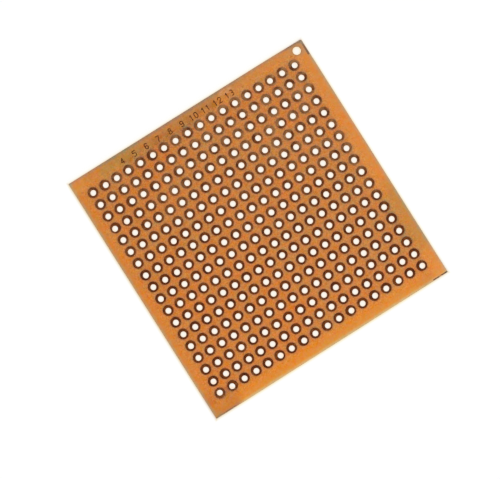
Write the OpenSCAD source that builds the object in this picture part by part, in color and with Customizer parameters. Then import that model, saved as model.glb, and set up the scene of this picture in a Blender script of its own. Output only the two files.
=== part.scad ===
// Single-sided prototype board: a square of punched phenolic paper laminate
// with a grid of round copper solder pads, lying with its copper side up.
// +X runs along the hole rows, +Y points to the edge with the column numerals,
// +Z is up. The origin is at the middle of the outline, on the underside.

/* [Laminate] */
// Greatest width of the board, along the hole rows
board_w = 49.94; // [49.5:0.01:51]
// Greatest depth of the board, across the hole rows
board_d = 50.39; // [50:0.01:51.5]
// Thickness of the bare laminate
board_t = 1.2; // [0.8:0.1:1.6]
// How far the rear edge falls from its left end to its right end
rear_skew = 0.32; // [0:0.01:0.4]
// How far the front edge falls from its right end to its left end
front_skew = 0; // [0:0.01:0.2]
// How far the left and right edges lean over the depth of the board
side_skew = 0.17; // [0:0.01:0.4]

/* [Hole grid] */
// Distance from one hole to the next, both ways
pitch = 2.54; // [2.3:0.01:2.56]
// Diameter of a lead hole
lead_hole_d = 1.12; // [1.12:0.02:1.2]
// Middle of the hole grid, to the right of the middle of the outline
grid_x = -0.235; // [-0.4:0.005:0.4]
// Middle of the hole grid, to the rear of the middle of the outline
grid_y = -0.16; // [-0.4:0.01:0.4]
// How far out of square the grid is, at the middle of each of its sides
grid_lean = 0.03; // [0:0.01:0.05]
// Sideways error of the holes that were punched off their grid point
wander = 0.16; // [0:0.01:0.2]
// How far to the rear the hole in the front left corner was punched
corner_slip = 0.21; // [0:0.01:0.25]

/* [Copper] */
// Outer diameter of a pad
pad_d = 1.98; // [1.9:0.02:2.1]
// Thickness of the copper
copper_t = 0.035; // [0.02:0.005:0.1]
// How far the pads sit to the rear of their holes
pad_shift = 0.075; // [0:0.005:0.1]
// How much farther they do so in the front row, and how much less in the rear row
pad_drift = 0.03; // [0:0.01:0.05]

/* [Corner hole] */
// Diameter of the hole in the rear right corner
corner_hole_d = 1.54; // [1:0.02:1.8]
// Distance from its centre to the right edge
corner_hole_side = 1.76; // [1.6:0.01:2]
// Distance from its centre to the rear edge
corner_hole_rear = 1.46; // [1.3:0.01:1.6]

/* [Column numerals] */
// Height of a digit
digit_h = 1.2; // [0.9:0.05:1.4]
// Width of a digit
digit_w = 0.74; // [0.6:0.02:0.8]
// Width of a digit's stroke
stroke = 0.18; // [0.12:0.01:0.22]
// Gap between the two digits of a number
digit_gap = 0.22; // [0.15:0.01:0.3]
// Distance from the rear edge to the top of the digits
digit_inset = 1.06; // [0.9:0.01:1.1]
// First column with a numeral
first_numeral = 4; // [1:1:9]
// Last column with a numeral
last_numeral = 13; // [10:1:17]

/* [Corner marks] */
// Length of the mark along the right edge, at the rear right corner
rear_right_l = 3.2; // [2:0.1:4]
// Width of that mark
rear_right_w = 0.42; // [0.2:0.01:0.5]
// Length of its thin leg along the rear edge
rear_leg_l = 3.2; // [2:0.1:4]
// Width of that leg
rear_leg_w = 0.2; // [0.1:0.01:0.3]
// Length of the mark along the front edge, at the front right corner
front_right_l = 3.0; // [2:0.1:4]
// Width of that mark
front_right_w = 0.27; // [0.1:0.01:0.3]
// Length of the mark along the front edge, at the front left corner
front_left_l = 4.3; // [3:0.1:5]
// Width of that mark
front_left_w = 0.24; // [0.1:0.01:0.3]

/* [Hidden] */

// the grid is always 18 by 18, because there is one node for each row of pads
count = 18;
half = (count - 1) / 2;

// the four corners of the outline, which was sheared a little out of square
rear_left = [-board_w / 2 + side_skew, board_d / 2];
rear_right = [board_w / 2, board_d / 2 - rear_skew];
front_right = [board_w / 2 - side_skew, -board_d / 2 + front_skew];
front_left = [-board_w / 2, -board_d / 2];

// height of the rear edge above the origin at a given x
function rear_y(x) =
    rear_left[1] - rear_skew * (x - rear_left[0]) / (rear_right[0] - rear_left[0]);

corner_hole = [rear_right[0] - corner_hole_side, rear_right[1] - corner_hole_rear];

// grid point of column i and row j, both counted from 0 at the rear left
function grid_point(i, j) = [
    grid_x + (i - half) * pitch + grid_lean * (j - half) / half,
    grid_y + (half - j) * pitch - grid_lean * (i - half) / half
];

// Sideways error of the hole in column i, row j. The first row is off in every
// other column, to the right and to the left by turns. The third, fourth and
// last rows are off in every other column, and a few single holes at the left.
function punch_error(i, j) =
    j == 0 ? (i % 4 == 1 ? wander : i % 4 == 3 ? -wander / 2 : 0) :
    j == 2 ? (i % 2 == 0 ? (i > 0 ? 0.75 * wander : 0) : -wander / 4) :
    j == 3 ? (i < 2 ? -wander : i > 2 && i % 2 == 0 ? 0.85 * wander : 0) :
    j == 4 ? (i == 2 ? 0.85 * wander : 0) :
    j == 16 ? (i == 1 ? wander : 0) :
    j == 17 ? (i < 2 ? -0.8 * wander : i > 4 && i % 2 == 1 ? 0.8 * wander : 0) :
    0;

// the slip of the front left corner, where the pad went to the left as well
function slip(i, j) = i == 0 && j == count - 1 ? corner_slip : 0;

// centre of a hole, and centre of its pad
function hole_at(i, j) = grid_point(i, j) + [punch_error(i, j), slip(i, j)];
function pad_at(i, j) = grid_point(i, j)
    + [pad_drift / 2, pad_shift + pad_drift * (j - half) / half]
    + slip(i, j) * [-0.6, 0.3];

// unit vector from one point to another
function toward(p, q) = (q - p) / norm(q - p);

copper = [0.30, 0.17, 0.09];

// ---- laminate ----

module laminate() {
    color([0.80, 0.49, 0.22])
    linear_extrude(board_t)
    difference() {
        polygon([rear_left, front_left, front_right, rear_right]);
        for (j = [0 : count - 1], i = [0 : count - 1])
            translate(hole_at(i, j)) circle(d = lead_hole_d, $fn = 32);
        translate(corner_hole) circle(d = corner_hole_d, $fn = 40);
    }
}

// ---- pads ----

// one row of separate copper rings, each pierced by its own hole
module pad_row(n) {
    color(copper)
    for (i = [0 : count - 1])
        translate([0, 0, board_t])
        linear_extrude(copper_t)
        difference() {
            translate(pad_at(i, n - 1)) circle(d = pad_d, $fn = 40);
            translate(hole_at(i, n - 1)) circle(d = lead_hole_d, $fn = 32);
        }
}

// ---- column numerals ----

// a digit's strokes are drawn in a cell of digit_w by digit_h, from its lower left

module bar(x, y, w, h) {
    translate([x, y]) square([w, h]);
}

// an upright oval with a stroke's width, as wide as the cell
module oval(h) {
    r = digit_w / 2;
    difference() {
        union() {
            translate([r, r]) circle(r, $fn = 32);
            translate([r, h - r]) circle(r, $fn = 32);
            bar(0, r, digit_w, h - 2 * r);
        }
        translate([r, r]) circle(r - stroke, $fn = 32);
        translate([r, h - r]) circle(r - stroke, $fn = 32);
        bar(stroke, r, digit_w - 2 * stroke, h - 2 * r);
    }
}

// a round ring with a stroke's width, centred at [x, y]
module ring(x, y, r) {
    translate([x, y])
    difference() {
        circle(r, $fn = 32);
        circle(r - stroke, $fn = 32);
    }
}

module digit_0() {
    oval(digit_h);
}

module digit_1() {
    x = (digit_w - stroke) / 2;
    bar(x, 0, stroke, digit_h);
    polygon([
        [x + stroke / 2, digit_h], [x - 0.7 * stroke, digit_h - 1.2 * stroke],
        [x - 0.7 * stroke, digit_h - 2.4 * stroke], [x + stroke / 2, digit_h - 1.2 * stroke]
    ]);
}

module digit_2() {
    r = digit_w / 2;
    difference() {
        ring(r, digit_h - r, r);
        bar(-1, digit_h - 2 * r - 1, digit_w + 2, r + 1);
    }
    polygon([
        [digit_w - stroke, digit_h - r], [digit_w, digit_h - r],
        [1.5 * stroke, stroke / 2], [0, stroke / 2]
    ]);
    bar(0, 0, digit_w, stroke);
}

module digit_3() {
    r = digit_h / 4 + stroke / 4;
    for (y = [r, digit_h - r])
        difference() {
            ring(digit_w - r, y, r);
            bar(digit_w - 3 * r, y - 0.7 * r, 2 * r, 1.4 * r);
        }
    bar(digit_w - r, digit_h / 2 - stroke / 2, r / 2, stroke);
}

module digit_4() {
    slope = (digit_h - 2.6 * stroke) / (digit_w - 2.1 * stroke);
    difference() {
        polygon([
            [digit_w - 2 * stroke, 0], [digit_w - stroke, 0], [digit_w - stroke, digit_h],
            [digit_w - 2.1 * stroke, digit_h], [0, 2.6 * stroke], [0, 1.6 * stroke],
            [digit_w - 2 * stroke, 1.6 * stroke]
        ]);
        polygon([
            [1.05 * stroke, 2.6 * stroke], [digit_w - 2 * stroke, 2.6 * stroke],
            [digit_w - 2 * stroke, 2.6 * stroke + slope * (digit_w - 3.05 * stroke)]
        ]);
    }
    bar(digit_w - 1.5 * stroke, 1.6 * stroke, 1.5 * stroke, stroke);
}

module digit_5() {
    r = 0.56 * digit_w;
    difference() {
        ring(digit_w - r, r, r);
        bar(-digit_w, 0.35 * r, 2 * digit_w - r, 1.3 * r);
    }
    bar(digit_w - r, 2 * r - stroke, 0.2 * r, stroke);
    bar(0, 2 * r - stroke, digit_w - r, stroke);
    bar(0, 2 * r - stroke, stroke, digit_h - 2 * r + stroke);
    bar(0, digit_h - stroke, digit_w, stroke);
}

module digit_6() {
    r = digit_w / 2;
    ring(r, r, r);
    bar(0, r, stroke, digit_h - 2 * r);
    difference() {
        ring(r, digit_h - r, r);
        bar(-1, digit_h - 2 * r - 1, digit_w + 2, r + 1);
        bar(r, digit_h - r - 1, 2 * r, 1 + 0.3 * r);
    }
}

module digit_7() {
    bar(0, digit_h - stroke, digit_w, stroke);
    polygon([
        [digit_w - 1.1 * stroke, digit_h - stroke / 2], [digit_w, digit_h - stroke / 2],
        [1.9 * stroke, 0], [0.8 * stroke, 0]
    ]);
}

module digit_8() {
    r = digit_w / 2;
    upper = (digit_h - 2 * r + stroke) / 2;
    ring(r, r, r);
    ring(r, digit_h - upper, upper);
}

module digit_9() {
    translate([digit_w, digit_h]) rotate(180) digit_6();
}

module digit(n) {
    if (n == 0) digit_0();
    if (n == 1) digit_1();
    if (n == 2) digit_2();
    if (n == 3) digit_3();
    if (n == 4) digit_4();
    if (n == 5) digit_5();
    if (n == 6) digit_6();
    if (n == 7) digit_7();
    if (n == 8) digit_8();
    if (n == 9) digit_9();
}

// every digit is a copper island of its own, over the middle of its column
module column_numerals() {
    step = digit_w + digit_gap;
    color(copper)
    for (n = [first_numeral : last_numeral]) {
        x = grid_point(n - 1, 0)[0];
        base = rear_y(x) - digit_inset - digit_h;
        if (n < 10)
            translate([x - digit_w / 2, base, board_t])
            linear_extrude(copper_t) digit(n);
        else
            for (k = [0, 1])
                translate([x - step / 2 - digit_w / 2 + k * step, base, board_t])
                linear_extrude(copper_t) digit(k == 0 ? floor(n / 10) : n % 10);
    }
}

// ---- corner marks ----

// a strip of copper along the edge from corner p to corner q, cut off in line
// with the edge from p to s
module edge_strip(p, q, s, l, w) {
    along = toward(p, q);
    inward = toward(p, s);
    polygon([p, p + l * along, p + l * along + w * inward, p + w * inward]);
}

// an L round the corner, its rear leg almost sheared away
module corner_mark_rear_right() {
    a = toward(rear_right, front_right);
    b = toward(rear_right, rear_left);
    color(copper)
    translate([0, 0, board_t])
    linear_extrude(copper_t)
    polygon([
        rear_right,
        rear_right + rear_right_l * a,
        rear_right + rear_right_l * a + rear_right_w * b,
        rear_right + rear_leg_w * a + rear_right_w * b,
        rear_right + rear_leg_w * a + rear_leg_l * b,
        rear_right + rear_leg_l * b
    ]);
}

module corner_mark_front_right() {
    color(copper)
    translate([0, 0, board_t])
    linear_extrude(copper_t)
    edge_strip(front_right, front_left, rear_right, front_right_l, front_right_w);
}

module corner_mark_front_left() {
    color(copper)
    translate([0, 0, board_t])
    linear_extrude(copper_t)
    edge_strip(front_left, front_right, rear_left, front_left_l, front_left_w);
}

laminate();
pad_row(1);  // pad_row_01
pad_row(2);  // pad_row_02
pad_row(3);  // pad_row_03
pad_row(4);  // pad_row_04
pad_row(5);  // pad_row_05
pad_row(6);  // pad_row_06
pad_row(7);  // pad_row_07
pad_row(8);  // pad_row_08
pad_row(9);  // pad_row_09
pad_row(10);  // pad_row_10
pad_row(11);  // pad_row_11
pad_row(12);  // pad_row_12
pad_row(13);  // pad_row_13
pad_row(14);  // pad_row_14
pad_row(15);  // pad_row_15
pad_row(16);  // pad_row_16
pad_row(17);  // pad_row_17
pad_row(18);  // pad_row_18
column_numerals();
corner_mark_rear_right();
corner_mark_front_right();
corner_mark_front_left();
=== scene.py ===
import math

import bpy
import numpy as np
from mathutils import Matrix, Vector, noise
from mathutils.geometry import delaunay_2d_cdt


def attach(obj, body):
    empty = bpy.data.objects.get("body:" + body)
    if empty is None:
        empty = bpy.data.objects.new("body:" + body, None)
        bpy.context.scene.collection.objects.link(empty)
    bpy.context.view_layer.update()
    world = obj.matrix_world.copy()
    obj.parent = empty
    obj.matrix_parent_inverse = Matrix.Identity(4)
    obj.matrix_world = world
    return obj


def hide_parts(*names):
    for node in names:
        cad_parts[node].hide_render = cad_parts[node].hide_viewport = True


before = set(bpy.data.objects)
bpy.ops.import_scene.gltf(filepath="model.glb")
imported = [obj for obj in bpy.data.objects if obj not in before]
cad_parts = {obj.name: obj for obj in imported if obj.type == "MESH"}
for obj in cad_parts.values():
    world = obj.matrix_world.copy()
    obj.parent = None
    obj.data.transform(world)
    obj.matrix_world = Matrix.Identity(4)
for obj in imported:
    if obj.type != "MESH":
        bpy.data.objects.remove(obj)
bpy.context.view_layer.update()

MM = 0.001
scene = bpy.context.scene
scene.view_settings.view_transform = "Standard"
scene.view_settings.look = "None"

# ---------------------------------------------------------------- the board's own numbers, in mm
T = 1.2                       # laminate
CU = 0.035                    # copper
PITCH, COUNT = 2.54, 18
GX, GY = -0.235, -0.16
HALF = (COUNT - 1) / 2
LEAN = 0.03                   # the grid is this far out of square at the middle of its sides
HOLE_R, PAD_R, WANDER, SLIP = 0.56, 0.99, 0.16, 0.21
PAD_SHIFT, PAD_DRIFT = 0.075, 0.03
CORNERS = [(-24.80, 25.195), (-24.97, -25.195), (24.80, -25.195), (24.97, 24.875)]  # rear left, then anticlockwise
REAR_LEFT, FRONT_LEFT, FRONT_RIGHT, REAR_RIGHT = [np.array(c) for c in CORNERS]
CORNER_HOLE, CORNER_R = (24.97 - 1.76, 24.875 - 1.46), 0.77


def grid(i, j):
    return np.array([GX + (i - HALF) * PITCH + LEAN * (j - HALF) / HALF, GY + (HALF - j) * PITCH - LEAN * (i - HALF) / HALF])


def punch_error(i, j):
    if j == 0:
        return WANDER if i % 4 == 1 else -WANDER / 2 if i % 4 == 3 else 0
    if j == 2:
        return (0.75 * WANDER if i > 0 else 0) if i % 2 == 0 else -WANDER / 4
    if j == 3:
        return -WANDER if i < 2 else 0.85 * WANDER if i > 2 and i % 2 == 0 else 0
    if j == 4:
        return 0.85 * WANDER if i == 2 else 0
    if j == 16:
        return WANDER if i == 1 else 0
    if j == 17:
        return -0.8 * WANDER if i < 2 else 0.8 * WANDER if i > 4 and i % 2 == 1 else 0
    return 0


def slip(i, j):
    return SLIP if i == 0 and j == COUNT - 1 else 0.0


def hole_at(i, j):
    return grid(i, j) + [punch_error(i, j), slip(i, j)]


def pad_at(i, j):
    return grid(i, j) + [PAD_DRIFT / 2 - 0.6 * slip(i, j), PAD_SHIFT + PAD_DRIFT * (j - HALF) / HALF + 0.3 * slip(i, j)]


def wobble(x, y, z, seed=0.0):
    """Smooth noise from -1 to 1."""
    return noise.noise(Vector((x + 31.7 * seed, y - 17.3 * seed, z + 5.1 * seed)))


def smooth(a, b, x):
    t = np.clip((x - a) / (b - a), 0, 1)
    return t * t * (3 - 2 * t)


# ---------------------------------------------------------------- camera
# The lens looks straight down on the copper side. The picture's right runs 32.45 degrees
# clockwise from the board's +X.
ROLL = math.radians(32.45)
DISTANCE, SCALE = 500.0, 5.509       # mm from the copper, pixels for each mm there
AIM = (-2.356, -0.961)
cam_data = bpy.data.cameras.new("camera")
cam = bpy.data.objects.new("camera", cam_data)
scene.collection.objects.link(cam)
cam_data.sensor_width = 36.0
cam_data.lens = SCALE * DISTANCE * 36.0 / 500.0
cam_data.clip_start, cam_data.clip_end = 0.01, 20.0
cam.location = (AIM[0] * MM, AIM[1] * MM, (T + DISTANCE) * MM)
cam.rotation_euler = (0, 0, -ROLL)
scene.camera = cam

# ---------------------------------------------------------------- materials


class Graph:
    """Short names for the node trees below."""

    def __init__(self, name):
        self.mat = bpy.data.materials.new(name)
        self.mat.use_nodes = True
        self.tree = self.mat.node_tree
        self.tree.nodes.clear()
        self.out = self.tree.nodes.new("ShaderNodeOutputMaterial")
        self.bsdf = self.tree.nodes.new("ShaderNodeBsdfPrincipled")
        self.tree.links.new(self.bsdf.outputs[0], self.out.inputs[0])
        where = self.tree.nodes.new("ShaderNodeTexCoord").outputs["Object"]
        scale = self.tree.nodes.new("ShaderNodeVectorMath")
        scale.operation = "SCALE"
        self.put(where, scale.inputs[0])
        scale.inputs["Scale"].default_value = 1000.0
        self.p = scale.outputs[0]            # the point in mm

    def put(self, value, socket):
        if isinstance(value, bpy.types.NodeSocket):
            self.tree.links.new(value, socket)
        elif isinstance(value, (tuple, list)) and len(value) == 3 and socket.type == "RGBA":
            socket.default_value = (*value, 1.0)
        else:
            socket.default_value = value

    def math(self, op, a, b=0.0, c=0.0, clamp=False):
        n = self.tree.nodes.new("ShaderNodeMath")
        n.operation, n.use_clamp = op, clamp
        for value, socket in zip((a, b, c), n.inputs):
            self.put(value, socket)
        return n.outputs[0]

    def vec(self, op, a, b=None):
        n = self.tree.nodes.new("ShaderNodeVectorMath")
        n.operation = op
        self.put(a, n.inputs[0])
        if b is not None:
            self.put(b, n.inputs["Scale"] if op == "SCALE" else n.inputs[1])
        return n.outputs["Value"] if op in ("LENGTH", "DISTANCE", "DOT_PRODUCT") else n.outputs[0]

    def xyz(self, v):
        n = self.tree.nodes.new("ShaderNodeSeparateXYZ")
        self.put(v, n.inputs[0])
        return n.outputs

    def join(self, x, y, z):
        n = self.tree.nodes.new("ShaderNodeCombineXYZ")
        for value, socket in zip((x, y, z), n.inputs):
            self.put(value, socket)
        return n.outputs[0]

    def noise(self, scale, detail=2.0, rough=0.5, at=None, stretch=None, turn=0.0, distortion=0.0, move=(0, 0, 0)):
        v = self.p if at is None else at
        if stretch or turn or any(move):
            m = self.tree.nodes.new("ShaderNodeMapping")
            self.put(v, m.inputs[0])
            m.inputs["Location"].default_value = move
            m.inputs["Rotation"].default_value = (0, 0, turn)
            m.inputs["Scale"].default_value = stretch or (1, 1, 1)
            v = m.outputs[0]
        n = self.tree.nodes.new("ShaderNodeTexNoise")
        n.inputs["Scale"].default_value = scale
        n.inputs["Detail"].default_value = detail
        n.inputs["Roughness"].default_value = rough
        n.inputs["Distortion"].default_value = distortion
        self.put(v, n.inputs["Vector"])
        return n.outputs[0]

    def spread(self, value, low, high, to_low=0.0, to_high=1.0, soft=True):
        n = self.tree.nodes.new("ShaderNodeMapRange")
        n.interpolation_type = "SMOOTHSTEP" if soft else "LINEAR"
        self.put(value, n.inputs[0])
        for v, i in zip((low, high, to_low, to_high), (1, 2, 3, 4)):
            self.put(v, n.inputs[i])
        return n.outputs[0]

    def mix(self, factor, a, b, how="MIX"):
        n = self.tree.nodes.new("ShaderNodeMix")
        n.data_type, n.blend_type = "RGBA", how
        n.clamp_factor = True
        self.put(factor, n.inputs[0])
        self.put(a, n.inputs[6])
        self.put(b, n.inputs[7])
        return n.outputs[2]

    def tint(self, col, amount, shift):
        """Adds to a colour a shift of its linear channels, times amount."""
        n = self.tree.nodes.new("ShaderNodeVectorMath")
        n.operation = "MULTIPLY_ADD"
        self.put((amount,) * 3 if isinstance(amount, float) else amount, n.inputs[0])
        n.inputs[1].default_value = shift
        self.put(col, n.inputs[2])
        return n.outputs[0]

    def shade(self, col, amount, levels):
        """The same with the shift in sRGB levels, near the laminate's own colour."""
        return self.tint(col, amount, [a * b for a, b in zip(levels, (0.00678, 0.00358, 0.00125))])

    def ramp(self, value, *stops):
        n = self.tree.nodes.new("ShaderNodeValToRGB")
        self.put(value, n.inputs[0])
        e = n.color_ramp.elements
        while len(e) < len(stops):
            e.new(1.0)
        for slot, (at, colour) in zip(e, stops):
            slot.position, slot.color = at, (*colour, 1.0)
        return n.outputs[0]

    def bump(self, height, strength, distance, normal=None):
        n = self.tree.nodes.new("ShaderNodeBump")
        n.inputs["Strength"].default_value = strength
        n.inputs["Distance"].default_value = distance
        self.put(height, n.inputs["Height"])
        if normal is not None:
            self.put(normal, n.inputs["Normal"])
        return n.outputs[0]

    def set(self, **sockets):
        for name, value in sockets.items():
            self.put(value, self.bsdf.inputs[name.replace("_", " ")])
        return self.mat


def rgb(r, g, b):
    """Linear colour of an sRGB one from 0 to 255."""
    return tuple(c / 12.92 if c <= 0.04045 else ((c + 0.055) / 1.055) ** 2.4 for c in (r / 255, g / 255, b / 255))


def edge_distance(g, a, b):
    """Distance inwards from the outline's side a to b, in mm."""
    a, b = np.array(a), np.array(b)
    t = (b - a) / np.linalg.norm(b - a)
    n = (-t[1], t[0])
    return g.math("SUBTRACT", g.vec("DOT_PRODUCT", g.p, (n[0], n[1], 0.0)), float(n[0] * a[0] + n[1] * a[1]))


def cell(g, pads=True):
    """Distance in mm from the middle of the nearest pad, or of the nearest hole."""
    half = HALF * PITCH
    x, y, _ = g.xyz(g.vec("SUBTRACT", g.p, (GX, GY, 0.0)))
    across = g.math("ADD", x, g.math("MULTIPLY", y, LEAN / half))
    along = g.math("ADD", y, g.math("MULTIPLY", x, LEAN / half))
    slipped = g.math("MULTIPLY", g.math("LESS_THAN", x, PITCH - half), g.math("LESS_THAN", y, PITCH - half))
    if pads:
        across = g.math("SUBTRACT", across, PAD_DRIFT / 2)
        across = g.math("ADD", across, g.math("MULTIPLY", slipped, 0.6 * SLIP))
        along = g.math("SUBTRACT", g.math("ADD", along, g.math("MULTIPLY", y, PAD_DRIFT / half)), PAD_SHIFT)
    along = g.math("SUBTRACT", along, g.math("MULTIPLY", slipped, 0.3 * SLIP if pads else SLIP))
    off = []
    for value in (across, along):
        steps = g.math("ADD", g.math("DIVIDE", value, PITCH), HALF)
        nearest = g.math("MINIMUM", g.math("MAXIMUM", g.math("ROUND", steps), 0.0), COUNT - 1.0)
        off.append(g.math("MULTIPLY", g.math("SUBTRACT", steps, nearest), PITCH))
    return g.vec("LENGTH", g.join(off[0], off[1], 0.0))


def honey(g, body, grain=1.0):
    """The colour of the phenolic paper: resin-soaked fibres, orange, ochre and reddish by turns."""
    large = g.noise(0.085, 2.0, 0.5)
    middle = g.noise(0.42, 3.0, 0.55, move=(7, 3, 0))
    vivid = g.noise(1.9, 3.0, 0.62, move=(3, 9, 1))
    ruddy = g.noise(1.7, 3.0, 0.60, move=(11, 2, 4))
    fibre_a = g.noise(3.4, 3.0, 0.65, stretch=(0.30, 1.0, 1.0), turn=0.35, distortion=0.6)
    fibre_b = g.noise(3.8, 3.0, 0.65, stretch=(1.0, 0.32, 1.0), turn=-0.8, distortion=0.6, move=(5, 1, 2))

    def wave(n, reach=0.2):
        return g.spread(n, 0.5 - reach, 0.5 + reach, -1.0, 1.0, soft=False)

    grit = g.noise(5.6, 1.0, 0.5, move=(2, 6, 3))
    blotch = g.noise(0.95, 1.0, 0.5, move=(6, 13, 2))
    col = g.shade(rgb(*body), wave(middle), (4, -1, -5))
    col = g.shade(col, wave(blotch), (4, -3, -6))
    col = g.shade(col, wave(large), (-4, 2, 5))
    col = g.shade(col, wave(vivid), (3, 0, -6))
    col = g.shade(col, wave(ruddy), (3, -6, 4))
    col = g.shade(col, wave(fibre_a), (2, 2, 4))
    col = g.shade(col, wave(fibre_b), (-2, -2, -4))
    col = g.shade(col, g.math("MULTIPLY", wave(grit), grain), (7, 7, 10))
    col = g.shade(col, wave(g.noise(1.25, 2.0, 0.5, move=(4, 15, 6)), 0.17), (0, 2, 12))
    return col, (large, middle, vivid, fibre_a, fibre_b)


def laminate_top():
    g = Graph("phenolic_paper_copper_side")
    x, y, z = g.xyz(g.p)
    front = edge_distance(g, CORNERS[1], CORNERS[2])
    right = edge_distance(g, CORNERS[2], CORNERS[3])
    rear = edge_distance(g, CORNERS[3], CORNERS[0])
    left = edge_distance(g, CORNERS[0], CORNERS[1])
    # the fine grain is weaker in the left, right and front margins
    margin = g.math("MINIMUM", g.math("MINIMUM", left, right), front)
    col, (large, middle, fine, fibre_a, fibre_b) = honey(g, (202, 122, 50), g.spread(margin, 3.3, 2.0, 1.0, 0.55))
    uneven = g.math("SUBTRACT", middle, 0.5)
    # painted light: a little brighter and redder towards the front, and a painted sheen that makes it paler to the
    # right
    col = g.shade(col, g.spread(y, 24.0, -24.0, -1.0, 1.0, soft=False), (3.5, 1.5, 0))
    col = g.shade(col, g.spread(x, -20.0, 20.0, -1.0, 1.0, soft=False), (0, 1, 3))
    # the margins outside the pads are brighter: painted light, strongest at the front and the right
    for dist, levels in ((left, (7, 3, 0)), (right, (12, 10, 5)), (front, (12, 8, -3)), (rear, (4, 9, 10))):
        col = g.shade(col, g.spread(g.math("ADD", dist, g.math("MULTIPLY", uneven, 1.5)), 3.3, 2.0), levels)

    def patch(cx, cy, rx, ry, ragged=0.7, sharp=0.62):
        off = g.vec("LENGTH", g.vec("MULTIPLY", g.vec("SUBTRACT", g.p, (cx, cy, T)), (1 / rx, 1 / ry, 0.0)))
        return g.spread(g.math("ADD", off, g.math("MULTIPLY", uneven, ragged)), 1.12, sharp)

    # duller patches: along the middle of the rear edge, low on the right edge, and in the front left corner
    col = g.shade(col, patch(-4.0, 24.6, 16.5, 2.9), (-15, -6, 2))
    col = g.shade(col, patch(-15.0, 24.2, 4.5, 2.0), (-4, 2, -2))
    col = g.shade(col, patch(23.9, -12.5, 3.6, 8.0), (-19, -5, 0))
    col = g.shade(col, patch(-23.5, -24.0, 5.0, 4.0, sharp=0.6), (-17, -10, 2))
    col = g.shade(col, patch(-24.4, -24.7, 2.6, 2.2, 0.4, 0.3), (-13, 1, 6))
    col = g.shade(col, patch(22.5, -24.6, 3.8, 2.6, 0.5, 0.4), (-9, -6, 5))
    # an ochre band along the front edge, up to the front left corner
    clear = g.spread(x, -20.4, -18.6)
    col = g.tint(col, g.math("MULTIPLY", g.spread(front, 1.5, 0.3), clear), (0.0, 0.035, 0.008))
    # the sheared edges: bruised and greyer, with painted shade along them, most of all along the rear one
    patchy = g.spread(g.noise(0.9, 2.0, 0.6, move=(0, 4, 0)), 0.30, 0.65, 0.7, 1.1)
    unmarked = g.spread(front, 0.2, 1.4, 0.3, 1.0)
    for dist, wide, shift, where in ((left, 0.75, (-0.165, 0.078, 0.098), unmarked), (right, 0.75, (-0.155, 0.056, 0.100), 1.0),
                                     (front, 0.64, (-0.070, 0.152, 0.140), clear), (rear, 0.75, (-0.200, -0.005, 0.080), 1.0),
                                     (front, 0.75, (-0.150, 0.0, 0.060), g.math("MULTIPLY", g.math("SUBTRACT", 1.0, clear), g.spread(left, 0.1, 0.8)))):
        col = g.tint(col, g.math("MULTIPLY", g.math("MULTIPLY", g.spread(dist, wide, 0.0), patchy), where), shift)
    # a thin painted highlight along three of the edges
    for dist, where in ((left, unmarked), (right, 1.0), (front, clear)):
        col = g.tint(col, g.math("MULTIPLY", g.spread(dist, 0.22, 0.04), where), (0.0, 0.040, 0.045))
    # round the corner hole: a dull zone, an olive ring in it, and grey handling dirt out to the tip and along the rear edge
    hole = g.vec("LENGTH", g.vec("MULTIPLY", g.vec("SUBTRACT", g.p, (*CORNER_HOLE, T)), (1.0, 1.0, 0.0)))
    dull = g.spread(g.vec("LENGTH", g.vec("MULTIPLY", g.vec("SUBTRACT", g.p, (23.75, 23.95, T)), (1.0, 1.0, 0.0))), 2.3, 1.3, 0.0, 0.75)
    col = g.mix(dull, col, rgb(184, 137, 96))
    col = g.mix(g.spread(g.math("ADD", hole, g.math("MULTIPLY", uneven, 0.6)), 1.40, 0.90, 0.0, 0.5), col, rgb(176, 120, 66))
    dirt = g.math("MULTIPLY", patch(22.9, 24.95, 2.6, 0.66, 0.5, 0.5), 0.62)
    col = g.mix(dirt, col, rgb(132, 108, 84))
    dirt = g.math("MULTIPLY", patch(24.8, 24.8, 0.95, 0.95, 0.4, 0.4), 0.70)
    col = g.mix(dirt, col, rgb(126, 108, 88))
    # resist stains along the etched numerals
    stained = g.math("MULTIPLY", patch(-3.4, 23.25, 13.8, 0.95, 0.4, 0.6), g.spread(g.noise(0.45, 2.0, 0.5, move=(12, 5, 8)), 0.30, 0.66))
    col = g.shade(col, stained, (-13, -13, -10))
    # a painted copper-pink glint behind the numerals
    painted_glint = g.math("MULTIPLY", patch(8.2, 24.2, 1.6, 0.6, 0.6, 0.5), g.spread(fibre_a, 0.42, 0.58, 0.1, 0.75))
    col = g.mix(painted_glint, col, rgb(220, 160, 118))
    # flux between the pads: it dulls the laminate round each one, and leaves it speckled
    ring = cell(g)
    col = g.shade(col, g.spread(ring, 1.6, 0.95), (-14, 1, 21))
    col = g.shade(col, g.spread(ring, 1.22, 1.0), (-15, -15, -6))
    for noise_at, levels in ((g.noise(4.8, 1.0, 0.5, move=(8, 3, 6)), (12, 12, 13)), (g.noise(3.0, 2.0, 0.6, move=(1, 8, 9)), (4, -3, -8))):
        speckle = g.math("MULTIPLY", g.spread(noise_at, 0.3, 0.7, -1.0, 1.0, soft=False), g.spread(ring, 2.4, 1.8))
        col = g.shade(col, speckle, levels)
    rough = g.spread(fine, 0.3, 0.7, 0.42, 0.56)
    height = g.math("ADD", g.math("MULTIPLY", fibre_a, 0.5), g.math("MULTIPLY", fibre_b, 0.5))
    normal = g.bump(height, 0.25, 0.00002, g.bump(g.noise(0.5, 3.0, 0.5), 0.15, 0.0001))
    g.set(Base_Color=col, Roughness=rough, Normal=normal)
    g.bsdf.inputs["Specular IOR Level"].default_value = 0.22
    return g.mat


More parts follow.
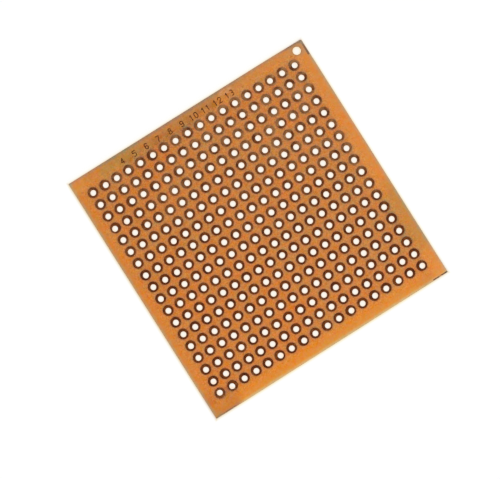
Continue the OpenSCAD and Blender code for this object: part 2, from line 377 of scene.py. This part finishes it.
def laminate_underside():
    g = Graph("phenolic_paper_bare_side")
    col, (large, middle, fine, fibre_a, fibre_b) = honey(g, (200, 120, 52))
    ring = cell(g, False)
    # the punch tears the paper a little where it comes out
    torn = g.math("ADD", ring, g.math("MULTIPLY", g.math("SUBTRACT", fine, 0.5), 0.25))
    col = g.mix(g.spread(torn, 1.00, 0.68, 0.0, 0.65), col, rgb(226, 168, 112))
    rough = g.spread(middle, 0.3, 0.7, 0.30, 0.46)
    height = g.math("ADD", g.math("MULTIPLY", fibre_a, 0.5), g.math("MULTIPLY", fibre_b, 0.5))
    normal = g.bump(height, 0.35, 0.00002)
    g.set(Base_Color=col, Roughness=rough, Normal=normal)
    g.bsdf.inputs["Specular IOR Level"].default_value = 0.4
    return g.mat


def laminate_cut(name, dark, pale):
    """Sheared or punched sides: the paper's layers show as fine lines along the board."""
    g = Graph(name)
    x, y, z = g.xyz(g.p)
    layers = g.noise(1.0, 3.0, 0.65, at=g.join(g.math("MULTIPLY", x, 0.17), g.math("MULTIPLY", y, 0.17), g.math("MULTIPLY", z, 13.0)))
    chips = g.noise(2.4, 4.0, 0.7)
    col = g.ramp(layers, (0.30, dark), (0.50, tuple((a + b) / 2 for a, b in zip(dark, pale))), (0.70, pale))
    col = g.mix(g.spread(chips, 0.55, 0.75, 0.0, 0.5), col, pale)
    height = g.math("ADD", g.math("MULTIPLY", layers, 0.7), g.math("MULTIPLY", chips, 0.5))
    g.set(Base_Color=col, Roughness=g.spread(chips, 0.3, 0.7, 0.6, 0.85), Normal=g.bump(height, 0.6, 0.00003))
    g.bsdf.inputs["Specular IOR Level"].default_value = 0.25
    return g.mat


def oxidised_copper(name, tone=1.0, painted_sheen=True, paler=(0.0, 0.0, 0.0)):
    """Copper gone dark brown under old flux, with near-black and rubbed tan patches."""
    g = Graph(name)
    patch = g.noise(0.55, 2.0, 0.5, move=(1, 2, 0))
    stain = g.noise(1.5, 3.0, 0.6, move=(4, 4, 0))
    grain = g.noise(9.0, 3.0, 0.6)

    def brown(r, gr, b):
        return (r * tone, gr * tone, b * tone)

    col = g.ramp(patch, (0.34, brown(0.125, 0.024, 0.0010)), (0.50, brown(0.160, 0.034, 0.0015)), (0.68, brown(0.195, 0.048, 0.004)))
    col = g.mix(g.spread(stain, 0.46, 0.66, 0.0, 0.8), col, brown(0.048, 0.009, 0.0008))
    col = g.mix(g.spread(stain, 0.44, 0.26, 0.0, 0.65), col, brown(0.34, 0.16, 0.060))
    if painted_sheen:                               # painted copper sheen, patchy and strongest towards the rear right corner
        x, y, z = g.xyz(g.p)
        away = g.math("ADD", g.math("MULTIPLY", x, -0.5), g.math("MULTIPLY", y, -1.0))
        away = g.math("ADD", away, g.math("MULTIPLY", g.math("SUBTRACT", g.noise(0.11, 1.0, 0.5), 0.5), 34.0))
        wear_and_sheen = g.spread(g.noise(0.85, 2.0, 0.55, move=(9, 1, 5)), 0.34, 0.66, 0.15, 1.75)
        col = g.tint(col, g.math("MULTIPLY", g.spread(away, 10.0, -34.0), wear_and_sheen), (0.115, 0.072, 0.031))
        off = g.vec("LENGTH", g.vec("MULTIPLY", g.vec("SUBTRACT", g.p, (-21.9, -21.6, T)), (1.0, 1.0, 0.0)))
        col = g.tint(col, g.spread(off, 1.9, 1.1), (0.035, 0.020, 0.008))      # lighter on the front left pad
    else:                                      # handled most at the corners of the board
        for corner, reach, grey, wear_and_sheen in ((REAR_RIGHT, 1.5, (0.235, 0.190, 0.135), (0.090, 0.074, 0.054)),
                                          (FRONT_RIGHT, 0.55, (0.085, 0.075, 0.055), (0.020, 0.028, 0.020)),
                                          (FRONT_LEFT, 2.2, (0.22, 0.15, 0.088), (0.15, 0.115, 0.066))):
            off = g.vec("LENGTH", g.vec("MULTIPLY", g.vec("SUBTRACT", g.p, (*corner, T)), (1.0, 1.0, 0.0)))
            col = g.mix(g.spread(off, reach, reach * 0.5, 0.0, 0.75), col, grey)
            col = g.tint(col, g.spread(off, 6.0, 5.0), wear_and_sheen)
        # the front right mark is rubbed through in the middle of its length
        x, y, z = g.xyz(g.p)
        rubbed = g.math("ABSOLUTE", g.math("ADD", x, g.math("MULTIPLY", g.math("SUBTRACT", stain, 0.5), 0.8)))
        rubbed = g.math("ABSOLUTE", g.math("SUBTRACT", rubbed, FRONT_RIGHT[0] - 1.55))
        low = g.math("LESS_THAN", y, -24.0)
        col = g.mix(g.math("MULTIPLY", g.spread(rubbed, 0.32, 0.10, 0.0, 0.75), g.math("MULTIPLY", low, g.math("GREATER_THAN", x, 0.0))), col, rgb(196, 140, 92))
        col = g.tint(col, 1.0, paler)
    metal = g.spread(stain, 0.35, 0.65, 0.42, 0.25)
    rough = g.spread(stain, 0.3, 0.7, 0.36, 0.50)
    normal = g.bump(grain, 0.3, 0.000006, g.bump(stain, 0.3, 0.00001))
    g.set(Base_Color=col, Metallic=metal, Roughness=rough, Normal=normal)
    g.bsdf.inputs["Specular IOR Level"].default_value = 0.18
    return g.mat


top_mat = laminate_top()
under_mat = laminate_underside()
edge_mat = laminate_cut("phenolic_paper_sheared_edge", rgb(128, 82, 46), rgb(214, 152, 92))
hole_mat = laminate_cut("phenolic_paper_punched_wall", rgb(92, 52, 28), rgb(168, 104, 58))
pad_mat = oxidised_copper("oxidised_copper_pads")
mark_mat = oxidised_copper("oxidised_copper_marks", 1.1, False, (0.045, 0.038, 0.022))
numeral_mat = oxidised_copper("oxidised_copper_numerals", 0.9, False, (0.016, 0.006, 0.001))

# ---------------------------------------------------------------- outline

ROUND = (0.12, 0.15, 0.14, 0.30)          # the sheared corners are slightly rounded, most of all the rear right one


def outline_points():
    """Points along the outline, anticlockwise: where each lies, and the way inwards there."""
    sides = []
    for k in range(4):
        a, b = np.array(CORNERS[k]), np.array(CORNERS[(k + 1) % 4])
        t = (b - a) / np.linalg.norm(b - a)
        sides.append((a, t, np.array([-t[1], t[0]])))
    centres = []                                   # of the rounding at the start of each side
    for k in range(4):
        (a0, t0, n0), (a1, t1, n1) = sides[k - 1], sides[k]
        centres.append(np.linalg.solve(np.array([n0, n1]), [n0 @ a0 + ROUND[k], n1 @ a1 + ROUND[k]]))
    found = []
    for k in range(4):
        a, t, n = sides[k]
        n_prev = sides[k - 1][2]
        for f in (0.2, 0.5, 0.8):                  # the rounded corner at a
            d = n_prev * (1 - f) + n * f
            d /= np.linalg.norm(d)
            found.append((centres[k] - d * ROUND[k], d))
        s0, s1 = (centres[k] - a) @ t, (centres[(k + 1) % 4] - a) @ t
        steps = 124
        for m in range(steps + 1):
            found.append((a + t * (s0 + (s1 - s0) * m / steps), n))
    return found


RIM = outline_points()
chance = np.random.RandomState(11)


def chips(number, widest, deepest, keep_off=()):
    """Depth of the chips broken out of an edge, at each point of the outline."""
    depth = np.zeros(len(RIM))
    at = np.array([p for p, _ in RIM])
    for _ in range(number):
        where = at[chance.randint(len(RIM))]
        wide = chance.uniform(0.25, 1.0) * widest
        deep = chance.uniform(0.3, 1.0) * deepest
        if any(np.linalg.norm(where - c) < r + wide for c, r in keep_off):
            continue
        off = np.linalg.norm(at - where, axis=1) / wide
        depth = np.maximum(depth, deep * np.clip(1 - off**2, 0, 1))
    return depth


marks_at = [(REAR_RIGHT, 3.6), (FRONT_RIGHT, 3.4), (FRONT_LEFT, 4.7)]
top_chips = chips(26, 0.5, 0.05, marks_at)
low_chips = chips(90, 0.9, 0.13)


def rim_loop(z, base, ragged, chip=None, share=0.0, seed=0.0):
    """One loop of points round the board, set in from the outline by an uneven amount."""
    loop = []
    for k, (p, d) in enumerate(RIM):
        near = float(smooth(17.0, 23.6, p[0])) * (p[1] > 24.0)          # the shears bit in there
        inset = base + 0.07 * near * (d[1] < -0.5) + ragged * (0.6 * abs(wobble(p[0] * 1.7, p[1] * 1.7, z * 3, seed)) + 0.8 * abs(wobble(p[0] * 5, p[1] * 5, z * 9, seed + 1)))
        if chip is not None:
            inset += share * chip[k] * float(smooth(0.4, 1.8, min(np.linalg.norm(p - c) for c in CORNERS)))
        room = 0.085 + 0.5 * max(0.0, min(np.linalg.norm(p - c) - r for c, r in zip(CORNERS, ROUND)))   # less near a corner
        q = p + d * min(max(inset, 0.0), 0.30, room)
        loop.append((q[0], q[1], z))
    return loop


RIM_LOOPS = [
    rim_loop(T, 0.045, 0.015, top_chips, 1.0, 1),
    rim_loop(T - 0.010, 0.018, 0.008, top_chips, 0.9, 1),
    rim_loop(T - 0.035, 0.004, 0.004, top_chips, 0.6, 1),
    rim_loop(T - 0.14, 0.001, 0.0),
    rim_loop(T - 0.34, 0.002, 0.012, None, 0, 3),
    rim_loop(T - 0.52, 0.003, 0.022, None, 0, 4),
    rim_loop(T - 0.70, 0.005, 0.030, None, 0, 5),
    rim_loop(T - 0.86, 0.008, 0.030, low_chips, 0.1, 6),
    rim_loop(T - 1.00, 0.012, 0.030, low_chips, 0.3, 7),
    rim_loop(T - 1.12, 0.025, 0.040, low_chips, 0.7, 8),
    rim_loop(0.0, 0.060, 0.050, low_chips, 1.0, 9),
]

# ---------------------------------------------------------------- laminate

HOLE_SEGS, CORNER_SEGS = 28, 48
# (height, how much wider than the hole, raggedness) from the copper side down
HOLE_STEPS = [(T, 0.075, 0.0), (T - 0.013, 0.030, 0.0), (T - 0.040, 0.010, 0.0), (T - 0.078, 0.003, 0.0), (T - 0.18, -0.021, 0.0),
              (0.22, -0.024, 0.004), (0.045, 0.022, 0.020), (0.0, 0.085, 0.060)]
CORNER_STEPS = [(T, 0.060, 0.012), (T - 0.012, 0.030, 0.006), (T - 0.05, 0.008, 0.0), (T - 0.16, 0.0, 0.0),
                (0.20, 0.004, 0.006), (0.060, 0.045, 0.030), (0.0, 0.120, 0.080)]


def hole_loops(centre, radius, segs, steps, seed):
    loops = []
    for z, wider, ragged in steps:
        loop = []
        for k in range(segs):
            a = 2 * math.pi * k / segs
            r = radius + wider + ragged * (abs(wobble(math.cos(a) * 1.3, math.sin(a) * 1.3, z * 2, seed)) + 0.5 * abs(wobble(math.cos(a) * 4, math.sin(a) * 4, 0, seed + 0.5)))
            loop.append((centre[0] + r * math.cos(a), centre[1] + r * math.sin(a), z))
        loops.append(loop)
    return loops


def plate_faces(rim, holes):
    """Triangles of the flat sheet inside rim and outside the holes. Each loop is a list of (x, y, z, index)."""
    points, edges, index, owner = [], [], [], []
    for number, loop in enumerate([rim, *holes]):
        first = len(points)
        points += [Vector((x, y)) for x, y, _, _ in loop]
        index += [k for _, _, _, k in loop]
        owner += [number] * len(loop)
        edges += [(first + m, first + (m + 1) % len(loop)) for m in range(len(loop))]
    verts, _, faces, from_verts, _, _ = delaunay_2d_cdt(points, edges, [], 0, 1e-7, True)
    loops = [np.array([(x, y) for x, y, _, _ in loop]) for loop in [rim, *holes]]

    def within(p, loop):
        a, b = loop, np.roll(loop, -1, 0)
        cross = (a[:, 1] > p[1]) != (b[:, 1] > p[1])
        with np.errstate(divide="ignore", invalid="ignore"):
            at = a[:, 0] + (p[1] - a[:, 1]) / (b[:, 1] - a[:, 1]) * (b[:, 0] - a[:, 0])
        return np.count_nonzero(cross & (p[0] < at)) % 2 == 1

    kept = []
    for f in faces:
        ks = [from_verts[k][0] for k in f]
        owners = {owner[k] for k in ks}
        if len(owners) == 1:                       # its corners are all on one loop, so it may fill a hole
            number = owners.pop()
            middle = np.mean([points[k][:] for k in ks], 0)
            if within(middle, loops[number]) != (number == 0):
                continue
        kept.append([index[k] for k in ks])
    return kept


def build_laminate():
    verts, faces, slots = [], [], []

    def add(loop):
        first = len(verts)
        verts.extend(loop)
        return [(*p, first + k) for k, p in enumerate(loop)]

    def band(a, b, slot, outward):
        n = len(a)
        for k in range(n):
            q = [a[k][3], b[k][3], b[(k + 1) % n][3], a[(k + 1) % n][3]]
            faces.append(q if outward else q[::-1])
            slots.append(slot)

    rim = [add(l) for l in RIM_LOOPS]
    for a, b in zip(rim, rim[1:]):
        band(a, b, 2, True)
    tops, bottoms = [], []
    holes = [(hole_at(i, j), HOLE_R, HOLE_SEGS, HOLE_STEPS, 1 + i + 20 * j) for j in range(COUNT) for i in range(COUNT)]
    holes.append((CORNER_HOLE, CORNER_R, CORNER_SEGS, CORNER_STEPS, 777))
    for centre, radius, segs, steps, seed in holes:
        loops = [add(l) for l in hole_loops(centre, radius, segs, steps, seed)]
        for a, b in zip(loops, loops[1:]):
            band(a, b, 3 if segs == HOLE_SEGS else 4, False)
        tops.append(loops[0])
        bottoms.append(loops[-1])
    for loops, rim_loop_, slot in ((tops, rim[0], 0), (bottoms, rim[-1], 1)):
        for f in plate_faces(rim_loop_, loops):
            a, b, c = (np.array(verts[k][:2]) for k in f[:3])
            up = (b - a)[0] * (c - a)[1] - (b - a)[1] * (c - a)[0] > 0
            faces.append(f if up == (slot == 0) else f[::-1])
            slots.append(slot)
    me = bpy.data.meshes.new("laminate_sheet")
    me.from_pydata([(x * MM, y * MM, z * MM) for x, y, z in verts], [], faces)
    me.polygons.foreach_set("material_index", slots)
    me.polygons.foreach_set("use_smooth", [s > 1 for s in slots])
    me.update()
    # a map of two flat charts, the copper side and the bare side. The walls go inside the holes' own discs and outside the outline.
    layer = me.uv_layers.new(name="OFBake")
    size = 54.0
    co = np.array(verts)
    home = np.zeros((len(verts), 2))
    rad = np.zeros(len(verts))
    k = sum(len(l) for l in RIM_LOOPS)
    rim_n = k
    for centre, radius, segs, steps, seed in holes:
        n = segs * len(steps)
        home[k:k + n] = centre
        rad[k:k + n] = radius
        k += n
    flat = {0: co[:, :2].copy(), 1: co[:, :2].copy()}
    for side in (0, 1):
        depth = (T - co[:, 2]) if side == 0 else co[:, 2]
        part = np.clip(depth / (T / 2), 0, 1)
        # holes: towards the middle with depth
        away = co[rim_n:, :2] - home[rim_n:]
        length = np.linalg.norm(away, axis=1)
        flat[side][rim_n:] = home[rim_n:] + away / length[:, None] * (length * (1 - 0.72 * part[rim_n:]))[:, None]
        ways = np.array([d for _, d in RIM] * len(RIM_LOOPS))
        flat[side][:rim_n] = co[:rim_n, :2] - ways * (part[:rim_n] * 1.1)[:, None]
    uv = np.zeros((len(me.loops), 2))
    loop_verts = np.zeros(len(me.loops), int)
    me.loops.foreach_get("vertex_index", loop_verts)
    start = np.zeros(len(me.polygons), int)
    total = np.zeros(len(me.polygons), int)
    me.polygons.foreach_get("loop_start", start)
    me.polygons.foreach_get("loop_total", total)
    for s, t, slot in zip(start, total, slots):
        ks = loop_verts[s:s + t]
        side = 0 if slot == 0 else 1 if slot == 1 else int(co[ks, 2].mean() < T / 2)
        at = flat[side][ks] / size
        uv[s:s + t] = at * [0.5, 1.0] + [0.25, 0.5] if side == 0 else at * [-0.5, 1.0] + [0.75, 0.5]
    layer.uv.foreach_set("vector", uv.astype(np.float32).ravel())
    ob = bpy.data.objects.new("laminate_sheet", me)
    scene.collection.objects.link(ob)
    for m in (top_mat, under_mat, edge_mat, hole_mat, edge_mat):
        me.materials.append(m)
    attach(ob, "root")
    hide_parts("laminate")
    return ob


build_laminate()

# ---------------------------------------------------------------- pads

PAD_SEGS = 36


def build_pads(j):
    """A row of copper rings: etched outer edges, and an inner lip drawn down into each hole by the punch."""
    verts, faces = [], []
    for i in range(COUNT):
        rnd = np.random.RandomState(1000 + 100 * j + i)
        p, h = pad_at(i, j), hole_at(i, j)
        seed = rnd.uniform(0, 60)
        lip = rnd.uniform(0.7, 1.2)
        first = len(verts)
        for k in range(PAD_SEGS):
            a = 2 * math.pi * k / PAD_SEGS
            c, s = math.cos(a), math.sin(a)
            R = PAD_R - 0.018 * abs(wobble(c * 1.1, s * 1.1, seed)) - 0.010 * abs(wobble(c * 3.5, s * 3.5, seed + 9))
            outer = np.array([p[0] + R * c, p[1] + R * s])
            r = HOLE_R
            inner = np.array([h[0] + r * c, h[1] + r * s])
            way = inner - outer
            wide = np.linalg.norm(way)
            way = way / wide

            def put(at, z, from_hole=False):
                q = inner - way * at if from_hole else outer + way * at
                verts.append((q[0] * MM, q[1] * MM, z * MM))

            put(0.0, T)
            put(0.010, T + 0.020)
            put(0.024, T + 0.031)
            put(0.045, T + CU)
            put(wide * 0.45, T + CU - 0.002 * abs(wobble(c * 2, s * 2, seed + 3)))
            put(0.120, T + CU - 0.001, True)
            put(0.070, T + CU - 0.006 * lip, True)
            put(0.030, T + CU - 0.022 * lip, True)
            put(0.008, T - 0.012 * lip, True)
            put(0.001, T - 0.050 * lip, True)
            put(0.006, T - 0.060 * lip, True)
            put(0.014, T - 0.034, True)
            put(0.034, T - 0.012, True)
            put(0.080, T, True)
        n = 14
        for k in range(PAD_SEGS):
            a, b = first + k * n, first + (k + 1) % PAD_SEGS * n
            for m in range(n):
                faces.append([a + m, b + m, b + (m + 1) % n, a + (m + 1) % n])
    name = f"copper_pads_row_{j + 1:02d}"
    me = bpy.data.meshes.new(name)
    me.from_pydata(verts, [], faces)
    me.polygons.foreach_set("use_smooth", [True] * len(faces))
    me.update()
    me.materials.append(pad_mat)
    ob = bpy.data.objects.new(name, me)
    scene.collection.objects.link(ob)
    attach(ob, "root")
    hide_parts(f"pad_row_{j + 1:02d}")
    return ob


for row in range(COUNT):
    build_pads(row)

# ---------------------------------------------------------------- etched copper from a distance field


def etched(name, fields, material, node, sheared=None):
    """Thin copper islands. Each field is (lowest corner, highest corner, step, f), where f gives how far inside
    the island's edge a point is, in mm. sheared gives the distance from the board's own edge, over which the
    copper is dragged down a little."""
    verts, faces = [], []
    for lo, hi, step, f in fields:
        nx, ny = int(math.ceil((hi[0] - lo[0]) / step)) + 1, int(math.ceil((hi[1] - lo[1]) / step)) + 1
        xs, ys = lo[0] + np.arange(nx) * step, lo[1] + np.arange(ny) * step
        X, Y = np.meshgrid(xs, ys, indexing="ij")
        D = f(X, Y)
        D = np.where(np.abs(D) < step * 0.04, np.where(D < 0, -step * 0.04, step * 0.04), D)
        key = {}

        def heights(x, y, d):
            drop = 0.0
            if sheared is not None:
                e = float(np.clip(sheared(np.array([x]), np.array([y]))[0], 0, 1))
                drop = 0.045 * max(0.0, 1 - e / 0.05) ** 2
            t = min(max(d / 0.034, 0.0), 1.0)
            up = CU * (1 - (1 - t) ** 2.2)
            wear_and_sheen = 0.003 * abs(wobble(x * 6, y * 6, 2.0))
            return T - drop + max(up - wear_and_sheen * t, 0.0), T - drop

        def vertex(tag, x, y, d):
            if tag not in key:
                top, low = heights(x, y, d)
                if d <= 0:
                    verts.append((x * MM, y * MM, low * MM))
                    key[tag] = (len(verts) - 1, len(verts) - 1)
                else:
                    verts.append((x * MM, y * MM, top * MM))
                    verts.append((x * MM, y * MM, low * MM))
                    key[tag] = (len(verts) - 2, len(verts) - 1)
            return key[tag]

        inside = D > 0
        busy = inside[:-1, :-1] | inside[1:, :-1] | inside[1:, 1:] | inside[:-1, 1:]
        for a, b in zip(*np.nonzero(busy)):
            ring = [(a, b), (a + 1, b), (a + 1, b + 1), (a, b + 1)]
            poly = []
            for m in range(4):
                (i0, j0), (i1, j1) = ring[m], ring[(m + 1) % 4]
                d0, d1 = D[i0, j0], D[i1, j1]
                if d0 > 0:
                    poly.append(vertex((i0, j0), xs[i0], ys[j0], d0))
                if (d0 > 0) != (d1 > 0):
                    t = d0 / (d0 - d1)
                    tag = tuple(sorted(((i0, j0), (i1, j1))))
                    poly.append(vertex(tag, xs[i0] + (xs[i1] - xs[i0]) * t, ys[j0] + (ys[j1] - ys[j0]) * t, 0.0))
            if len(poly) < 3:
                continue
            faces.append([v[0] for v in poly])
            faces.append([v[1] for v in poly][::-1])
    me = bpy.data.meshes.new(name)
    me.from_pydata(verts, [], faces)
    me.polygons.foreach_set("use_smooth", [True] * len(faces))
    me.validate()
    me.update()
    me.materials.append(material)
    ob = bpy.data.objects.new(name, me)
    scene.collection.objects.link(ob)
    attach(ob, "root")
    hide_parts(node)
    return ob


# ---------------------------------------------------------------- column numerals

DH, DW, STROKE = 1.2, 0.74, 0.18
GAP, INSET = 0.22, 1.06


def arc(cx, cy, r, a0, a1, n=14):
    return [(cx + r * math.cos(math.radians(a0 + (a1 - a0) * k / n)), cy + r * math.sin(math.radians(a0 + (a1 - a0) * k / n))) for k in range(n + 1)]


def digit_lines(n):
    """Middle lines of a digit's strokes, in a cell of DW by DH."""
    h, r = STROKE / 2, DW / 2
    c = r - h
    if n == 0:
        return [arc(r, r, c, 180, 360) + arc(r, DH - r, c, 0, 180) + [(h, r)]]
    if n == 1:
        return [[(r, h), (r, DH - h), (0.19, 0.88)]]
    if n == 2:
        return [arc(r, DH - r, c, 180, 0) + [(DW - h - 0.01, DH - r - 0.06), (0.13, 0.12), (h, h), (DW - h, h)]]
    if n == 3:
        q = DH / 4 + STROKE / 4
        cx, cr = DW - q, q - h
        return [arc(cx, DH - q, cr, 112, -90), arc(cx, q, cr, 90, -112), [(cx, DH / 2), (cx + q / 2, DH / 2)]]
    if n == 4:
        return [[(DW - 1.5 * STROKE, h), (DW - 1.5 * STROKE, DH - h), (0.08, 0.40), (DW - h, 0.378)]]
    if n == 5:
        q = 0.56 * DW
        cx, cr = DW - q, q - h
        return [[(DW - h, DH - h), (h, DH - h), (h, 2 * q - h), (cx, 2 * q - h)] + arc(cx, q, cr, 88, -122)]
    if n == 6:
        return [arc(r, r, c, 0, 360, 22), [(h, r), (h, DH - r)] + arc(r, DH - r, c, 180, 26)]
    if n == 7:
        return [[(h, DH - h), (DW - h - 0.01, DH - h), (0.26, h)]]
    if n == 8:
        u = (DH - 2 * r + STROKE) / 2
        return [arc(r, r, c, 0, 360, 22), arc(r, DH - u, u - h, 0, 360, 20)]
    return [[(DW - x, DH - y) for x, y in line] for line in digit_lines(6)]


def line_distance(X, Y, line):
    best = np.full(X.shape, 1e9)
    for (x0, y0), (x1, y1) in zip(line, line[1:]):
        dx, dy = x1 - x0, y1 - y0
        if dx * dx + dy * dy < 1e-12:
            continue
        t = np.clip(((X - x0) * dx + (Y - y0) * dy) / (dx * dx + dy * dy), 0, 1)
        best = np.minimum(best, np.hypot(X - x0 - t * dx, Y - y0 - t * dy))
    return best


def noise_field(X, Y, scale, seed):
    return np.array([wobble(x * scale, y * scale, 0.0, seed) for x, y in zip(X.ravel(), Y.ravel())]).reshape(X.shape)


def digit_field(n, x0, y0, seed):
    lines = digit_lines(n)
    step = 0.026

    def f(X, Y):
        d = np.full(X.shape, 1e9)
        for line in lines:
            d = np.minimum(d, line_distance(X - x0, Y - y0, line))
        inside = STROKE / 2 - d
        near = inside > -0.08
        uneven = np.zeros(X.shape)
        pts = np.nonzero(near)
        uneven[pts] = [0.022 * wobble(x * 3.2, y * 3.2, 0, seed) + 0.010 * wobble(x * 9, y * 9, 0, seed + 1) for x, y in zip(X[pts], Y[pts])]
        return np.minimum(inside - 0.008 + uneven, np.minimum(np.minimum(X - x0, x0 + DW - X), np.minimum(Y - y0, y0 + DH - Y)))

    return ((x0 - 0.02, y0 - 0.02), (x0 + DW + 0.02, y0 + DH + 0.02), step, f)


def rear_y(x):
    return REAR_LEFT[1] - (REAR_LEFT[1] - REAR_RIGHT[1]) * (x - REAR_LEFT[0]) / (REAR_RIGHT[0] - REAR_LEFT[0])


digits = []
for n in range(4, 14):
    x = grid(n - 1, 0)[0]
    base = rear_y(x) - INSET - DH
    if n < 10:
        digits.append(digit_field(n, x - DW / 2, base, n))
    else:
        step = DW + GAP
        for k in (0, 1):
            digits.append(digit_field(n // 10 if k == 0 else n % 10, x - step / 2 - DW / 2 + k * step, base, n + 50 * k))
etched("etched_numerals", digits, numeral_mat, "column_numerals")

# ---------------------------------------------------------------- corner marks


def side_distance(k):
    a, b = np.array(CORNERS[k]), np.array(CORNERS[(k + 1) % 4])
    t = (b - a) / np.linalg.norm(b - a)
    n = np.array([-t[1], t[0]])
    return lambda X, Y: (X - a[0]) * n[0] + (Y - a[1]) * n[1]


LEFT, FRONT, RIGHT, REAR = (side_distance(k) for k in range(4))


def corner_distance(a, b, r):
    """Distance inside two sides that meet in a slightly rounded corner."""

    def f(X, Y):
        p, q = a(X, Y), b(X, Y)
        rounded = r - np.hypot(r - p, r - q)
        return np.where((p < r) & (q < r), rounded, np.minimum(p, q))

    return f


def strip(board, across, along, length, width, seed):
    def f(X, Y):
        a, l = across(X, Y), along(X, Y)
        uneven = np.array([wobble(x * 2.2, y * 2.2, 0, seed) for x, y in zip(X.ravel(), Y.ravel())]).reshape(X.shape)
        return np.minimum(board(X, Y) - 0.002, np.minimum(width - 0.012 - a + 0.014 * uneven, length - l))

    return f


rear_right_edge = corner_distance(lambda X, Y: REAR(X, Y) - 0.07 * smooth(17.0, 23.6, X), lambda X, Y: RIGHT(X, Y) - 0.03, ROUND[3])
rear_right_shear = corner_distance(lambda X, Y: REAR(X, Y) - 0.07 * smooth(17.0, 23.6, X), RIGHT, ROUND[3])
front_right_edge = corner_distance(FRONT, RIGHT, ROUND[2])
front_left_edge = corner_distance(FRONT, LEFT, ROUND[1])

tall = strip(rear_right_edge, RIGHT, REAR, 3.2, 0.42, 5)
leg = strip(rear_right_edge, REAR, RIGHT, 3.2, 0.20, 6)
etched("etched_mark_rear_right",
       [((24.97 - 3.25, 24.875 - 3.25), (25.0, 24.93), 0.03, lambda X, Y: np.maximum(tall(X, Y), leg(X, Y)))],
       mark_mat, "corner_mark_rear_right", rear_right_shear)
etched("etched_mark_front_right",
       [((24.80 - 3.05, -25.22), (24.83, -24.90), 0.026, strip(front_right_edge, FRONT, RIGHT, 3.0, 0.27, 7))],
       mark_mat, "corner_mark_front_right", front_right_edge)
etched("etched_mark_front_left",
       [((-25.0, -25.22), (-24.97 + 4.35, -24.92), 0.026, strip(front_left_edge, FRONT, LEFT, 4.3, 0.24, 8))],
       mark_mat, "corner_mark_front_left", front_left_edge)

# ---------------------------------------------------------------- floor and lights

me = bpy.data.meshes.new("floor")
me.from_pydata([(-4, -4, -2e-5), (4, -4, -2e-5), (4, 4, -2e-5), (-4, 4, -2e-5)], [], [(0, 1, 2, 3)])
floor = bpy.data.objects.new("floor", me)
scene.collection.objects.link(floor)
g = Graph("pale_floor")
# painted bounce light and contact shade: close to the board the floor's emission takes a little of the board's colour
# and is darker
outside = g.math("MULTIPLY", edge_distance(g, CORNERS[0], CORNERS[1]), -1.0)
for k in (1, 2, 3):
    outside = g.math("MAXIMUM", outside, g.math("MULTIPLY", edge_distance(g, CORNERS[k], CORNERS[(k + 1) % 4]), -1.0))
painted_edge_bounce_and_shade = g.ramp(g.math("DIVIDE", outside, 0.6), (0.0, (0.80, 0.60, 0.36)), (0.22, (0.87, 0.745, 0.52)), (0.42, (0.918, 0.86, 0.67)), (0.70, (0.929, 0.90, 0.78)), (1.0, (0.930, 0.920, 0.862)))
# painted shade and tint along each side, in a narrow band next to the edge
for k, shift in ((0, (-0.06, -0.08, -0.08)), (1, (-0.01, -0.025, -0.095)), (2, (-0.02, -0.02, -0.045)), (3, (-0.02, 0.0, 0.04))):
    beyond = g.spread(g.math("MULTIPLY", edge_distance(g, CORNERS[k], CORNERS[(k + 1) % 4]), -1.0), -0.05, 0.03)
    painted_edge_bounce_and_shade = g.tint(painted_edge_bounce_and_shade, g.math("MULTIPLY", beyond, g.spread(outside, 0.5, 0.2)), shift)
# the painted fringe is bluer near the rear right tip
tip = g.vec("LENGTH", g.vec("MULTIPLY", g.vec("SUBTRACT", g.p, (*REAR_RIGHT, 0.0)), (1.0, 1.0, 0.0)))
painted_edge_bounce_and_shade = g.tint(painted_edge_bounce_and_shade, g.math("MULTIPLY", g.spread(tip, 5.0, 2.5), g.spread(outside, 0.5, 0.1)), (0.0, 0.045, 0.14))
for corner, reach in ((FRONT_RIGHT, 3.0), (FRONT_LEFT, 4.3)):       # beside the etched marks the painted fringe is greyer
    tip = g.vec("LENGTH", g.vec("MULTIPLY", g.vec("SUBTRACT", g.p, (*corner, 0.0)), (1.0, 1.0, 0.0)))
    painted_edge_bounce_and_shade = g.tint(painted_edge_bounce_and_shade, g.math("MULTIPLY", g.spread(tip, reach + 0.3, reach - 0.3), g.spread(outside, 0.5, 0.1)), (-0.05, -0.03, 0.06))
corner_hole = g.vec("LENGTH", g.vec("MULTIPLY", g.vec("SUBTRACT", g.p, (*CORNER_HOLE, 0.0)), (1.0, 1.0, 0.0)))
within_board = g.math("LESS_THAN", outside, 0.0)
# painted bounce light under the corner hole, warm near its wall
painted_underside_bounce = g.mix(g.spread(corner_hole, 0.25, 0.74), (0.935, 0.925, 0.862), (0.95, 0.80, 0.55))
# painted bounce light under the holes too, warmer towards their walls
under = g.mix(g.spread(cell(g, False), 0.18, 0.58), (0.938, 0.930, 0.870), (0.98, 0.805, 0.635))
painted_underside_bounce = g.mix(g.math("GREATER_THAN", corner_hole, 1.0), painted_underside_bounce, under)
g.set(Base_Color=(0.09, 0.105, 0.18), Roughness=0.9, Emission_Color=g.mix(within_board, painted_edge_bounce_and_shade, painted_underside_bounce))
g.bsdf.inputs["Emission Strength"].default_value = 1.0
g.bsdf.inputs["Specular IOR Level"].default_value = 0.0
me.materials.append(g.mat)

world = bpy.data.worlds.new("studio")
scene.world = world
world.use_nodes = True
world.node_tree.nodes["Background"].inputs[0].default_value = (1.0, 1.0, 1.0, 1.0)
world.node_tree.nodes["Background"].inputs[1].default_value = 0.30


def softbox(name, place, size, watts, colour=(1.0, 1.0, 1.0)):
    data = bpy.data.lights.new(name, "AREA")
    data.shape, data.size, data.energy, data.color = "DISK", size, watts, colour
    ob = bpy.data.objects.new(name, data)
    scene.collection.objects.link(ob)
    ob.location = place
    ob.rotation_euler = (-Vector(place)).to_track_quat("-Z", "Y").to_euler()
    return ob


softbox("front", (0.10, -0.80, 0.70), 0.45, 6.0)
softbox("left", (-0.75, 0.10, 0.62), 0.6, 2.7)
softbox("right", (0.55, 0.50, 0.80), 0.45, 4.4)
